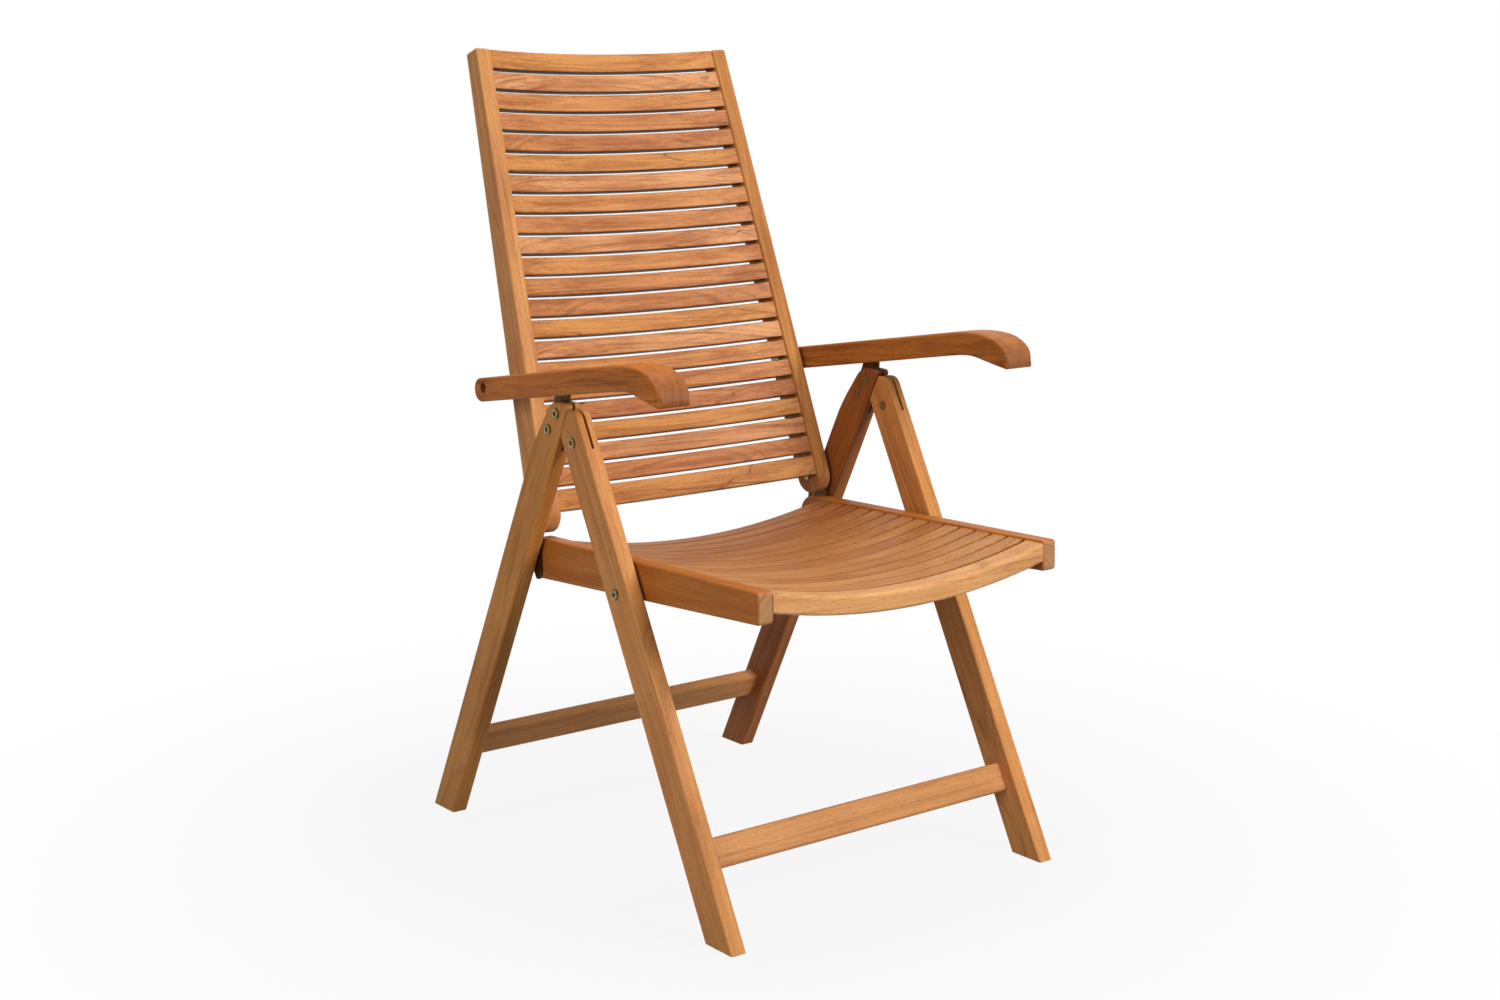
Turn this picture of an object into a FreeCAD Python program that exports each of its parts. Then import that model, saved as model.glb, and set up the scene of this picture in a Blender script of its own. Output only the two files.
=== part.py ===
import FreeCAD, Part
import math
import os
import Sketcher
from FreeCAD import Placement, Rotation, Vector

# Folding teak armchair with a five-position reclining back.
# Frame: +Z up, the sitter looks along -Y, left and right are the sitter's own (left is +X).
# Origin: middle of the footprint, on the floor. Lengths in millimetres, angles in degrees.

doc = FreeCAD.newDocument("folding_teak_armchair")

# Driving sizes
# Every size that can be set by itself stands here once.

SIZES = {
    # legs
    "leg_thickness": 22,
    "leg_depth": 47.8,
    "seat_to_leg_gap": 4,
    "front_leg_lean": 27.73,
    "rear_leg_lean": 26.36,
    "leg_edge_radius": 3,
    "leg_pivot_y": -12.8,
    "leg_pivot_height": 567,
    "front_leg_setback": 24.7,
    "rear_leg_setback": 28.7,
    "leg_tip_reach": 40.5,
    "leg_top_clearance": 1,
    # stretchers
    "stretcher_height": 38,
    "stretcher_thickness": 20,
    "stretcher_setback": 17.5,
    "stretcher_above_floor": 84,
    "stretcher_edge_radius": 4,
    "stretcher_tenon": 12,
    "plug_diameter": 7,
    "plug_depth": 14,
    # seat
    "seat_inner_width": 436,
    "seat_slope": 1.86,
    "seat_pivot_before_legs": 91,
    "seat_pivot_below_legs": 175,
    "rail_thickness": 22,
    "rail_front": 250,
    "rail_rear": 208.5,
    "rail_top_above_pivot": 38,
    "rail_front_height": 39,
    "rail_rear_height": 55,
    "seat_slat_count": 15,
    "seat_slats_rear_margin": 13.46,
    "seat_slat_width": 24.9,
    "seat_slat_thickness": 13,
    "seat_slat_dip": 25,
    "seat_slat_recess": 3,
    "seat_front_slat_width": 33.5,
    "seat_front_slat_thickness": 24,
    # back
    "back_lean": 19.34,
    "back_hinge_behind_seat": 217.6,
    "back_hinge_above_seat": 60,
    "stile_thickness": 22,
    "stile_length": 622.8,
    "stile_bottom_depth": 49,
    "stile_top_depth": 28,
    "stile_tilt": 2.95,
    "stile_inside_rail": 1.7,
    "back_slat_count": 22,
    "back_slats_bottom": -1.7753,
    "back_slat_width": 23.9,
    "back_slat_thickness": 14,
    "back_slat_dip": 18,
    "back_slat_recess": 4,
    "back_top_slat_width": 26,
    "back_bottom_slat_width": 28.5,
    "slat_edge_radius": 2.2,
    "tenon_length": 9,
    "tenon_height": 6,
    "tenon_shoulder": 4,
    # arms
    "arm_pivot_up_stile": 173.4736,
    "arm_pivot_behind_stile": 2.0668,
    "arm_above_catch": 7.2445,
    "arm_thickness": 31,
    "arm_width": 45.5,
    "arm_inside_leg": 9,
    "arm_splay": 2.6,
    "arm_reach": 418,
    "arm_tail": 10,
    "arm_tail_dip": 2.5,
    "arm_nose_drop": 38.5,
    "arm_edge_radius": 3.5,
    "groove_width": 12,
    "groove_before_notch": 33.7,
    "groove_length": 159,
    # brass
    "catch_behind_legs": 37,
    "catch_above_legs": 64,
    "catch_pin_diameter": 6,
    "rack_wall": 1.8,
    "rack_before_notch": 11.7,
    "rack_length": 112,
    "rack_tooth_gap": 0.3,
    "rack_height": 6,
    "notch_radius": 3.3,
    "plate_thickness": 4,
    "strap_thickness": 2.5,
    "bolt_diameter": 8,
    "head_diameter": 13.5,
    "head_height": 2.6,
    "nut_proud": 0.7,
    "hinge_head_proud": 0.5,
    "socket_size": 6,
    "rest_pin_diameter": 12,
    "rest_pin_behind_legs": 140,
    "rest_pin_below_legs": 191,
    "screw_diameter": 4,
    "screw_head_diameter": 8,
    "fit": 0.05,
    "gap": 0.3,
}

sheet = doc.addObject("Spreadsheet::Sheet", "Sizes")
for row, (alias, number) in enumerate(SIZES.items(), start=1):
    sheet.set("A%d" % row, alias)
    sheet.set("B%d" % row, str(number))
    sheet.setAlias("B%d" % row, alias)
doc.recompute()


class Size:
    """A number together with the formula that gives it from the sheet."""

    def __init__(self, value, text):
        self.value = float(value)
        self.text = text

    def join(self, other, sign, result):
        return Size(result, "(%s %s %s)" % (self.text, sign, as_size(other).text))

    def __add__(self, other):
        return self.join(other, "+", self.value + as_size(other).value)

    def __sub__(self, other):
        return self.join(other, "-", self.value - as_size(other).value)

    def __mul__(self, other):
        return self.join(other, "*", self.value * as_size(other).value)

    def __truediv__(self, other):
        return self.join(other, "/", self.value / as_size(other).value)

    def __radd__(self, other):
        return as_size(other) + self

    def __rsub__(self, other):
        return as_size(other) - self

    def __rmul__(self, other):
        return as_size(other) * self

    def __neg__(self):
        return Size(-self.value, "(0 - %s)" % self.text)

    def __float__(self):
        return self.value


def as_size(number):
    if isinstance(number, Size):
        return number
    return Size(number, "(%.9f)" % number)


def root(size):
    return Size(math.sqrt(size.value), "sqrt(%s)" % size.text)


def sine(size):
    return Size(math.sin(math.radians(size.value)), "sin(%s)" % size.text)


def cosine(size):
    return Size(math.cos(math.radians(size.value)), "cos(%s)" % size.text)


def tangent(size):
    return Size(math.tan(math.radians(size.value)), "tan(%s)" % size.text)


def sized(alias):
    return Size(sheet.get(alias), "Sizes.%s" % alias)


# Small helpers for bodies, sketches and solids

def bind(item, name, size):
    """Sets one property of an object, with its formula."""
    size = as_size(size)
    item.setExpression(name, size.text)


def new_body(name):
    body = doc.addObject("PartDesign::Body", name)
    body.Label = name
    return body


def origin_plane(body, role):
    for feature in body.Origin.OriginFeatures:
        if feature.Role == role:
            return feature
    raise ValueError(role)


def new_sketch(body, role, name):
    sketch = body.newObject("Sketcher::SketchObject", name)
    sketch.AttachmentSupport = [(origin_plane(body, role), "")]
    sketch.MapMode = "FlatFace"
    return sketch


def fix_point(sketch, geometry, end, across, up):
    """Holds one point of a sketch at two distances from the origin."""
    for kind, size in (("DistanceX", as_size(across)), ("DistanceY", as_size(up))):
        if abs(size.value) < 1e-9:
            axis = -2 if kind == "DistanceX" else -1
            sketch.addConstraint(Sketcher.Constraint("PointOnObject", geometry, end, axis))
            continue
        index = sketch.addConstraint(
            Sketcher.Constraint(kind, -1, 1, geometry, end, size.value))
        sketch.setExpression("Constraints[%d]" % index, size.text)


def rounded_outline(sketch, corners):
    """Draws a closed polygon; a corner is (across, up) or (across, up, radius)."""
    points = [Vector(float(c[0]), float(c[1]), 0) for c in corners]
    radii = [float(c[2]) if len(c) > 2 else 0.0 for c in corners]
    count = len(corners)
    starts = []
    ends = []
    for i in range(count):
        before = (points[i - 1] - points[i]).normalize()
        after = (points[(i + 1) % count] - points[i]).normalize()
        half = before.getAngle(after) / 2
        reach = radii[i] / math.tan(half)
        ends.append(points[i] + before * reach)
        starts.append(points[i] + after * reach)
    lines = []
    for i in range(count):
        line = Part.LineSegment(starts[i], ends[(i + 1) % count])
        lines.append(sketch.addGeometry(line, False))
    for i in range(count):
        line_in = lines[i - 1]
        line_out = lines[i]
        if radii[i] == 0:
            sketch.addConstraint(Sketcher.Constraint("Coincident", line_in, 2, line_out, 1))
            fix_point(sketch, line_out, 1, corners[i][0], corners[i][1])
            continue
        middle_way = (ends[i] + starts[i]) / 2
        away = (middle_way - points[i]).normalize()
        half = math.asin(min(1.0, (ends[i] - starts[i]).Length / 2
                             / (ends[i] - points[i]).Length))
        centre = points[i] + away * (radii[i] / math.sin(half))
        top = centre - away * radii[i]
        arc = sketch.addGeometry(Part.Arc(ends[i], top, starts[i]), False)
        turn = (ends[i] - points[i]).cross(starts[i] - points[i]).z
        arc_start, arc_end = (1, 2) if turn < 0 else (2, 1)
        sketch.addConstraint(
            Sketcher.Constraint("Tangent", line_in, 2, arc, arc_start))
        sketch.addConstraint(
            Sketcher.Constraint("Tangent", arc, arc_end, line_out, 1))
        index = sketch.addConstraint(Sketcher.Constraint("Radius", arc, radii[i]))
        sketch.setExpression("Constraints[%d]" % index, as_size(corners[i][2]).text)
        corner = sketch.addGeometry(Part.Point(points[i]), True)
        sketch.addConstraint(Sketcher.Constraint("PointOnObject", corner, 1, line_in))
        sketch.addConstraint(Sketcher.Constraint("PointOnObject", corner, 1, line_out))
        fix_point(sketch, corner, 1, corners[i][0], corners[i][1])


def pad(body, sketch, length, name):
    """Extrudes a sketch by the same amount to both sides."""
    feature = body.newObject("PartDesign::Pad", name)
    feature.Profile = sketch
    feature.SideType = "Symmetric"
    bind(feature, "Length", length)
    doc.recompute()
    return feature


def round_edges(body, base, radius, name, wanted):
    """Rounds the edges of a feature that the function wanted picks."""
    names = []
    for number, edge in enumerate(base.Shape.Edges, start=1):
        if wanted(edge):
            names.append("Edge%d" % number)
    feature = body.newObject("PartDesign::Fillet", name)
    feature.Base = (base, names)
    bind(feature, "Radius", radius)
    doc.recompute()
    return feature


def place(item, across=0, back=0, up=0, turn=None):
    """Puts an object at its place; the three distances keep their formulas."""
    item.Placement = Placement(Vector(float(across), float(back), float(up)),
                               turn or Rotation())
    for name, size in (("x", across), ("y", back), ("z", up)):
        if isinstance(size, Size):
            item.setExpression(".Placement.Base.%s" % name, size.text)
    return item


def board(name, corners, thickness, edge_radius, keep_sharp=None):
    """A board sawn to a side outline, with rounded arrises on both faces."""
    body = new_body(name)
    sketch = new_sketch(body, "YZ_Plane", name + "_outline")
    rounded_outline(sketch, corners)
    thick = pad(body, sketch, thickness, name + "_pad")
    half = float(thickness) / 2

    def on_a_face(edge):
        across = [vertex.Point.x for vertex in edge.Vertexes]
        flat = max(across) - min(across) < 1e-6 and abs(abs(across[0]) - half) < 1e-6
        return flat and not (keep_sharp and keep_sharp(edge))

    round_edges(body, thick, edge_radius, name + "_arris", on_a_face)
    return body


def cylinder(name, radius, length, across, back, up):
    """A round bar along X that starts at the given place."""
    item = doc.addObject("Part::Cylinder", name)
    bind(item, "Radius", radius)
    bind(item, "Height", length)
    return place(item, across, back, up, Rotation(Vector(0, 1, 0), 90))


def box(name, length, width, height, placement):
    """A block whose corner with the least coordinates stands at the placement."""
    item = doc.addObject("Part::Box", name)
    bind(item, "Length", length)
    bind(item, "Width", width)
    bind(item, "Height", height)
    item.Placement = placement
    return item


def fuse(name, pieces):
    item = doc.addObject("Part::MultiFuse", name)
    item.Shapes = pieces
    return item


def cut(name, base, tools):
    item = doc.addObject("Part::Cut", name)
    item.Base = base
    item.Tool = tools[0] if len(tools) == 1 else fuse(name + "_tools", tools)
    item.Label = name
    return item


def group(name, pieces):
    item = doc.addObject("Part::Compound", name)
    item.Links = pieces
    item.Label = name
    return item


PARTS = []


def keep(item, name):
    item.Label = name
    PARTS.append(item)
    return item


SIDES = (("left", 1), ("right", -1))

# Shared values

fit = sized("fit")
gap = sized("gap")
bolt_radius = sized("bolt_diameter") / 2
hole_radius = bolt_radius + fit
head_radius = sized("head_diameter") / 2
nut_radius = head_radius - 0.25
head_height = sized("head_height")
leg_thickness = sized("leg_thickness")
rail_inner = sized("seat_inner_width") / 2
rail_outer = rail_inner + sized("rail_thickness")
leg_inner = rail_outer + sized("seat_to_leg_gap")
leg_outer = leg_inner + leg_thickness
leg_middle = leg_inner + leg_thickness / 2
pivot_y = sized("leg_pivot_y")
pivot_z = sized("leg_pivot_height")
seat_y = pivot_y - sized("seat_pivot_before_legs")
seat_z = pivot_z - sized("seat_pivot_below_legs")
hinge_y = seat_y + sized("back_hinge_behind_seat")
hinge_z = seat_z + sized("back_hinge_above_seat")
catch_y = pivot_y + sized("catch_behind_legs")
catch_z = pivot_z + sized("catch_above_legs")
lean = sized("back_lean")
up_stile = sized("arm_pivot_up_stile")
behind_stile = sized("arm_pivot_behind_stile")
arm_y = hinge_y + up_stile * sine(lean) + behind_stile * cosine(lean)
arm_z = hinge_z + up_stile * cosine(lean) - behind_stile * sine(lean)


def turn_x(degrees):
    return Rotation(Vector(1, 0, 0), float(degrees))


# Metalwork that a bolt is made of

def turned_pin(name, side, back, up, steps):
    """A turned pin along X, from steps of (from x, to x, radius), with no bore."""
    body = new_body(name)
    sketch = new_sketch(body, "XY_Plane", name + "_half")
    corners = [(steps[0][0], as_size(0))]
    for start, end, radius in steps:
        corners += [(start, radius), (end, radius)]
    corners.append((steps[-1][1], as_size(0)))
    rounded_outline(sketch, corners)
    turned = body.newObject("PartDesign::Revolution", name + "_turned")
    turned.Profile = sketch
    turned.ReferenceAxis = (sketch, ["H_Axis"])
    turned.Angle = 360
    place(body, 0, back, up, Rotation(Vector(0, 0, 1), 0 if side > 0 else 180))
    doc.recompute()
    return body


def hex_socket(name, side, outer_face, depth, back, up):
    """The hexagon of a socket head, sunk from its outer face."""
    tool = doc.addObject("Part::Prism", name)
    tool.Polygon = 6
    bind(tool, "Circumradius", sized("socket_size") / 2 / math.cos(math.radians(30)))
    bind(tool, "Height", depth)
    start = outer_face - depth if side > 0 else -outer_face
    return place(tool, start, back, up, Rotation(Vector(0, 1, 0), 90))


def socket_bolt(name, side, back, up, inner, outer, nut_r, head_r, nut_height):
    """A bolt with its head outside, a sleeve nut inside and a socket in the head."""
    neck = head_height
    steps = [
        (inner, inner + nut_height, nut_r),
        (inner + nut_height, outer - neck, bolt_radius),
        (outer - neck, outer - 0.6, head_r),
        (outer - 0.6, outer, head_r - 0.6),
    ]
    shank = turned_pin(name + "_turned", side, back, up, steps)
    tool = hex_socket(name + "_socket", side, outer, head_height * 0.8, back, up)
    return cut(name, shank, [tool])


def bore(name, side, radius, start, end, back, up):
    """A round hole along X between two distances from the middle plane."""
    first = start if side > 0 else -end
    return cylinder(name, radius, end - start, first, back, up)


# Legs
# Each leg is drawn in its own frame: origin at the leg pivot, Z up along the leg.

depth = sized("leg_depth")
front_lean = sized("front_leg_lean")
rear_lean = sized("rear_leg_lean")
front_face = -sized("front_leg_setback")
rear_face = front_face + depth
back_front = sized("rear_leg_setback")
back_rear = back_front + depth

# the foot is sawn level, so its two corners differ by the lean
front_foot = -(pivot_z / cosine(front_lean))
back_foot = -(pivot_z / cosine(rear_lean))

# the front leg stops short of the rear leg's front face along this line
between = front_lean + rear_lean
trim = back_front - sized("leg_top_clearance")
trim_corner = (trim - rear_face * cosine(between)) / sine(between)
tip = sized("leg_tip_reach")
tip_along = trim * sine(between) + root(tip * tip - trim * trim) * cosine(between)
tip_back = trim * cosine(between) - root(tip * tip - trim * trim) * sine(between)

front_leg_outline = [
    (front_face, front_foot + front_face * tangent(front_lean)),
    (rear_face, front_foot + rear_face * tangent(front_lean)),
    (rear_face, trim_corner, as_size(8)),
    (tip_back, tip_along, as_size(3)),
    (front_face, tip_along - 7.3, as_size(16)),
]

rear_leg_outline = [
    (back_front, back_foot - back_front * tangent(rear_lean)),
    (back_rear, back_foot - back_rear * tangent(rear_lean)),
    (back_rear, as_size(-48), as_size(250)),
    (back_rear - 13, as_size(22), as_size(30)),
    (back_front, tip - 3, as_size(5)),
]


def is_low(edge):
    return edge.BoundBox.ZMax < -500


# where the plate bolts go through the rear leg, seen from the leg pivot
plate_bolts = (("upper", pivot_y + 36, pivot_z + 32), ("lower", pivot_y + 55, pivot_z + 10))
slot_width = sized("plate_thickness") + 2 * fit


def leg_bolt_holes(name, side, places):
    """Bores for bolts through a leg, each with its shallow seat for the nut."""
    tools = []
    seat_depth = head_height - sized("nut_proud")
    for place_name, back, up in places:
        tag = "%s_%s" % (name, place_name)
        tools.append(bore(tag + "_bore", side, hole_radius, leg_inner - 1, leg_outer + 1, back, up))
        tools.append(bore(tag + "_seat", side, nut_radius + fit, leg_inner - 1,
                          leg_inner + seat_depth, back, up))
    return tools


def leg_slot(name, side, lean, bottom, top):
    """The saw kerf in the top of a leg, which takes the hinge plate."""
    turn = turn_x(lean)
    corner = Vector(float(side * leg_middle - slot_width / 2), -150, float(bottom))
    place_at = Vector(0, float(pivot_y), float(pivot_z)) + turn.multVec(corner)
    return box(name, slot_width, as_size(300), top - bottom, Placement(place_at, turn))


leg_bolt_place = ("pivot", pivot_y, pivot_z)
seat_bolt_place = ("seat", seat_y, seat_z)
rest_y = pivot_y + sized("rest_pin_behind_legs")
rest_z = pivot_z - sized("rest_pin_below_legs")
rest_stem = sized("bolt_diameter") / 2

# Stretchers
# Each is a straight board between the legs, tilted like its legs.

stretcher_low = sized("stretcher_above_floor")
stretcher_depth = sized("stretcher_thickness")
tenon_in = sized("stretcher_tenon")


def stretcher(name, lean, first_face):
    """A board from leg to leg, with a square tenon in each leg; drawn in the leg's frame."""
    sign = 1 if lean.value > 0 else -1
    slant = cosine(lean)
    low = (stretcher_low - pivot_z) / slant + first_face * tangent(lean)
    body = new_body(name + "_board")
    sketch = new_sketch(body, "YZ_Plane", name + "_section")
    radius = sized("stretcher_edge_radius")
    high = low + sized("stretcher_height")
    rounded_outline(sketch, [
        (first_face, low, radius),
        (first_face + stretcher_depth, low, radius),
        (first_face + stretcher_depth, high, radius),
        (first_face, high, radius),
    ])
    pad(body, sketch, 2 * leg_inner, name + "_pad")
    place(body, 0, pivot_y, pivot_z, turn_x(-lean.value))
    tenons = []
    margin = radius + 1
    for side_name, side in SIDES:
        start = leg_inner - 4 if side > 0 else -(leg_inner + tenon_in)
        turn = turn_x(-lean.value)
        corner = Vector(float(start), float(first_face + margin), float(low + margin))
        place_at = Vector(0, float(pivot_y), float(pivot_z)) + turn.multVec(corner)
        tenons.append(box("%s_tenon_%s" % (name, side_name), tenon_in + 4,
                          stretcher_depth - 2 * margin,
                          sized("stretcher_height") - 2 * margin,
                          Placement(place_at, turn)))
    keep(fuse(name, [body] + tenons), name)
    return tenons


front_tenons = stretcher("front_stretcher", front_lean, front_face + sized("stretcher_setback"))
rear_tenons = stretcher("rear_stretcher", -rear_lean, back_front + sized("stretcher_setback"))

# Plugs that cover the screws through the rear legs into the rear stretcher
plug_radius = sized("plug_diameter") / 2
plug_depth = sized("plug_depth")
plug_up = sized("stretcher_above_floor") + 6
plugs = []
for side_name, side in SIDES:
    plug = doc.addObject("Part::Cylinder", "plug_%s" % side_name)
    bind(plug, "Radius", plug_radius)
    bind(plug, "Height", plug_depth)
    face_y = (pivot_y + back_front / cosine(rear_lean)
              + (pivot_z - plug_up) * tangent(rear_lean))
    turn = Rotation(Vector(1, 0, 0), -90 + rear_lean.value)
    place(plug, side * leg_middle, face_y, plug_up, turn)
    plugs.append(plug)
keep(group("dowel_plugs", plugs), "dowel_plugs")

for (side_name, side), front_tenon, rear_tenon, plug in zip(
        SIDES, front_tenons, rear_tenons, plugs):
    front = board("front_leg_%s_board" % side_name, front_leg_outline, leg_thickness,
                  sized("leg_edge_radius"), is_low)
    place(front, side * leg_middle, pivot_y, pivot_z, turn_x(-front_lean.value))
    tools = leg_bolt_holes("front_leg_" + side_name, side, [leg_bolt_place])
    tools.append(bore("front_leg_%s_seat_bore" % side_name, side, hole_radius,
                      leg_inner - 1, leg_outer + 1, seat_y, seat_z))
    tools.append(leg_slot("front_leg_%s_slot" % side_name, side, -front_lean.value,
                          as_size(-17.5), as_size(60)))
    tools.append(front_tenon)
    keep(cut("front_leg_" + side_name, front, tools), "front_leg_" + side_name)

    rear = board("rear_leg_%s_board" % side_name, rear_leg_outline, leg_thickness,
                 sized("leg_edge_radius"), is_low)
    place(rear, side * leg_middle, pivot_y, pivot_z, turn_x(rear_lean.value))
    tools = leg_bolt_holes("rear_leg_" + side_name, side, plate_bolts)
    tools.append(leg_slot("rear_leg_%s_slot" % side_name, side, rear_lean.value,
                          as_size(-33), as_size(60)))
    tools.append(bore("rear_leg_%s_pin_bore" % side_name, side, rest_stem,
                      leg_inner - 1, leg_inner + 14, rest_y, rest_z))
    tools.append(rear_tenon)
    tools.append(plug)
    keep(cut("rear_leg_" + side_name, rear, tools), "rear_leg_" + side_name)

# Leg hinge plates
# One brass plate in the kerf of each pair of leg tops: it turns on the leg pivot, is bolted
# to the rear leg and carries the catch pin above it.

plate_outline = [
    (pivot_y - 12, pivot_z - 8, as_size(10)),
    (pivot_y - 2, pivot_z - 12, as_size(10)),
    (pivot_y + 62, pivot_z + 3.5, as_size(8)),
    (pivot_y + 66, pivot_z + 20, as_size(10)),
    (catch_y + 16, catch_z - 14, as_size(6)),
    (catch_y + 15.5, catch_z + 4.5, as_size(8)),
    (catch_y - 15, catch_z + 4.5, as_size(8)),
    (catch_y - 15, catch_z - 22, as_size(10)),
    (pivot_y - 12, pivot_z + 10, as_size(10)),
]
catch_radius = sized("catch_pin_diameter") / 2
plate_thickness = sized("plate_thickness")
plates = []
for side_name, side in SIDES:
    body = new_body("leg_plate_%s_blank" % side_name)
    sketch = new_sketch(body, "YZ_Plane", "leg_plate_%s_outline" % side_name)
    rounded_outline(sketch, plate_outline)
    pad(body, sketch, plate_thickness, "leg_plate_%s_pad" % side_name)
    place(body, side * leg_middle)
    tools = []
    for tag, back, up in (leg_bolt_place,) + plate_bolts:
        tools.append(bore("leg_plate_%s_%s_bore" % (side_name, tag), side, hole_radius,
                          leg_inner, leg_outer, back, up))
    tools.append(bore("leg_plate_%s_catch_bore" % side_name, side, catch_radius,
                      leg_inner, leg_outer, catch_y, catch_z))
    plates.append(cut("leg_plate_" + side_name, body, tools))
keep(group("leg_hinge_plates", plates), "leg_hinge_plates")

# Bolts through the legs

nut_inside = leg_inner - sized("nut_proud")
outside = leg_outer + head_height
plate_bolt_solids = []
for side_name, side in SIDES:
    for tag, back, up in plate_bolts:
        plate_bolt_solids.append(socket_bolt(
            "plate_bolt_%s_%s" % (tag, side_name), side, back, up, nut_inside, outside,
            nut_radius, head_radius, head_height))
keep(group("leg_hinge_bolts", plate_bolt_solids), "leg_hinge_bolts")

pivot_bolt_solids = []
for side_name, side in SIDES:
    pivot_bolt_solids.append(socket_bolt(
        "leg_pivot_bolt_" + side_name, side, pivot_y, pivot_z, nut_inside, outside,
        nut_radius, head_radius, head_height))
    pivot_bolt_solids.append(socket_bolt(
        "seat_pivot_bolt_" + side_name, side, seat_y, seat_z,
        rail_inner - head_height - gap, outside, nut_radius, head_radius, head_height))
    washer = bore("seat_washer_blank_" + side_name, side, head_radius + 2,
                  rail_outer + gap, leg_inner, seat_y, seat_z)
    hole = bore("seat_washer_bore_" + side_name, side, hole_radius,
                rail_outer - 1, leg_inner + 1, seat_y, seat_z)
    pivot_bolt_solids.append(cut("seat_washer_" + side_name, washer, [hole]))
keep(group("leg_pivot_bolts", pivot_bolt_solids), "leg_pivot_bolts")

# Catch pins in the plates, and rest pins that carry the seat on the rear legs
pin_solids = []
for side_name, side in SIDES:
    half = sized("groove_width") / 2 - gap
    pin_solids.append(bore("catch_pin_" + side_name, side, catch_radius,
                           leg_middle - half, leg_middle + half, catch_y, catch_z))
    pin_solids.append(turned_pin("rest_pin_" + side_name, side, rest_y, rest_z, [
        (rail_outer + gap, leg_inner, sized("rest_pin_diameter") / 2),
        (leg_inner, leg_inner + 14, rest_stem),
    ]))
keep(group("catch_and_rest_pins", pin_solids), "catch_and_rest_pins")

# Seat slats
# A slat is a bent strip: level at the rails and lower in the middle.


def bent_strip(name, role, half_length, dip, thickness, width, radius, sink_sign):
    """A strip bent to an arc; its ends are flat and stand at half_length."""
    bend = (half_length * half_length + dip * dip) / (2 * dip)
    far = bend + thickness
    centre = bend - dip
    far_end = root(far * far - half_length * half_length) - centre
    body = new_body(name)
    sketch = new_sketch(body, role, name + "_bend")
    ends = []
    for level, reach, middle in ((as_size(0), bend, dip), (far_end, far, dip + thickness)):
        level = sink_sign * level
        arc = sketch.addGeometry(Part.Arc(
            Vector(-float(half_length), float(level), 0),
            Vector(0, sink_sign * float(middle), 0),
            Vector(float(half_length), float(level), 0)), False)
        index = sketch.addConstraint(Sketcher.Constraint("Radius", arc, float(reach)))
        sketch.setExpression("Constraints[%d]" % index, reach.text)
        left_end = 1 if sketch.getPoint(arc, 1).x < 0 else 2
        ends.append((arc, left_end, level))
    (near, near_left, _), (away, away_left, level) = ends
    for turn, across in ((0, -half_length), (1, half_length)):
        near_point = near_left if turn == 0 else 3 - near_left
        away_point = away_left if turn == 0 else 3 - away_left
        line = sketch.addGeometry(Part.LineSegment(
            Vector(float(across), 0, 0), Vector(float(across), float(level), 0)), False)
        sketch.addConstraint(Sketcher.Constraint("Coincident", line, 1, near, near_point))
        sketch.addConstraint(Sketcher.Constraint("Coincident", line, 2, away, away_point))
        fix_point(sketch, line, 1, across, 0)
        fix_point(sketch, line, 2, across, level)
    thick = pad(body, sketch, width, name + "_pad")

    def is_long(edge):
        return edge.Length > float(half_length)

    round_edges(body, thick, radius, name + "_arris", is_long)
    return body


tenon_length = sized("tenon_length")
tenon_height = sized("tenon_height")
tenon_shoulder = sized("tenon_shoulder")
slat_radius = sized("slat_edge_radius")
seat_slope = sized("seat_slope")
slat_width = sized("seat_slat_width")
rail_front = sized("rail_front")
rail_rear = sized("rail_rear")
seat_slat_count = int(SIZES["seat_slat_count"])
rail_top = sized("rail_top_above_pivot")

# the seat's own frame: origin at the seat pivot, Y backwards along the top of the rails
seat_turn = turn_x(-seat_slope.value)
seat_origin = Vector(0, seat_y.value, seat_z.value)


def seat_place(across, back, up):
    return Placement(seat_origin + seat_turn.multVec(Vector(float(across), float(back),
                                                           float(up))), seat_turn)


seat_tenons = {"left": [], "right": []}
slat_level = rail_top - sized("seat_slat_recess")
front_slat_width = sized("seat_front_slat_width")
slat_pitch = (rail_front + rail_rear - sized("seat_slats_rear_margin") - 0.5
              - front_slat_width) / (seat_slat_count - 1)
slat_gap = slat_pitch - slat_width
for number in range(1, seat_slat_count + 1):
    name = "seat_slat_%02d" % number
    if number == 1:
        width = front_slat_width
        thickness = sized("seat_front_slat_thickness")
        middle = -rail_front + width / 2 + 0.5
        radius = slat_radius * 2
    else:
        width = slat_width
        thickness = sized("seat_slat_thickness")
        middle = (-rail_front + front_slat_width + 0.5 + slat_gap + width / 2
                  + (number - 2) * slat_pitch)
        radius = slat_radius
    strip = bent_strip(name + "_strip", "XZ_Plane", rail_inner, sized("seat_slat_dip"),
                       thickness, width, radius, -1)
    strip.Placement = seat_place(0, middle, slat_level)
    tenons = []
    for side_name, side in SIDES:
        start = rail_inner - 2 if side > 0 else -(rail_inner + tenon_length)
        tenon = box("%s_tenon_%s" % (name, side_name), tenon_length + 2,
                    width - 2 * tenon_shoulder, tenon_height,
                    seat_place(start, middle - width / 2 + tenon_shoulder,
                               slat_level - thickness / 2 - tenon_height / 2))
        tenons.append(tenon)
        seat_tenons[side_name].append(tenon)
    keep(fuse(name, [strip] + tenons), name)

# Seat rails
# The top edge is straight, the lower edge drops to the rear, and the rear end is round.

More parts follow.
